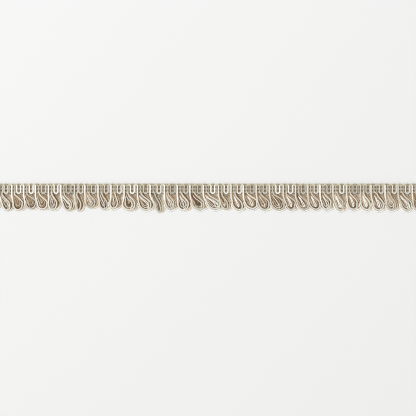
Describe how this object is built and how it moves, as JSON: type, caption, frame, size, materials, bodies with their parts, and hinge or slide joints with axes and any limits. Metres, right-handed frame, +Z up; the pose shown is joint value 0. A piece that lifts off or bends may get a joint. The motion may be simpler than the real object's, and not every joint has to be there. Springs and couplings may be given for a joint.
{
  "type": "looped fringe trim",
  "caption": "Straight cut length of woven furnishing trim: a ribbed heading with scalloped lower edge and a skirt of cream cord loops over tan yarn loops, lying flat face up.",
  "frame": {"origin": "middle of the trim's underside: half-way along its length and across its full width, on the surface it lies on", "axes": "+X along the trim, +Y from the skirt's loops towards the heading's upper edge, +Z up out of the face"},
  "size_m": [0.4718, 0.03, 0.0025],
  "materials": {
    "heading_weave": "woven cream cord and tan yarn, matt",
    "cream_cord": "plied cotton cord, soft satin",
    "tan_yarn": "fine spun yarn, matt"
  },
  "bodies": {
    "root": {"heading": "heading_weave", "cream_loops": "cream_cord", "tan_loops": "tan_yarn"}
  },
  "joints": []
}
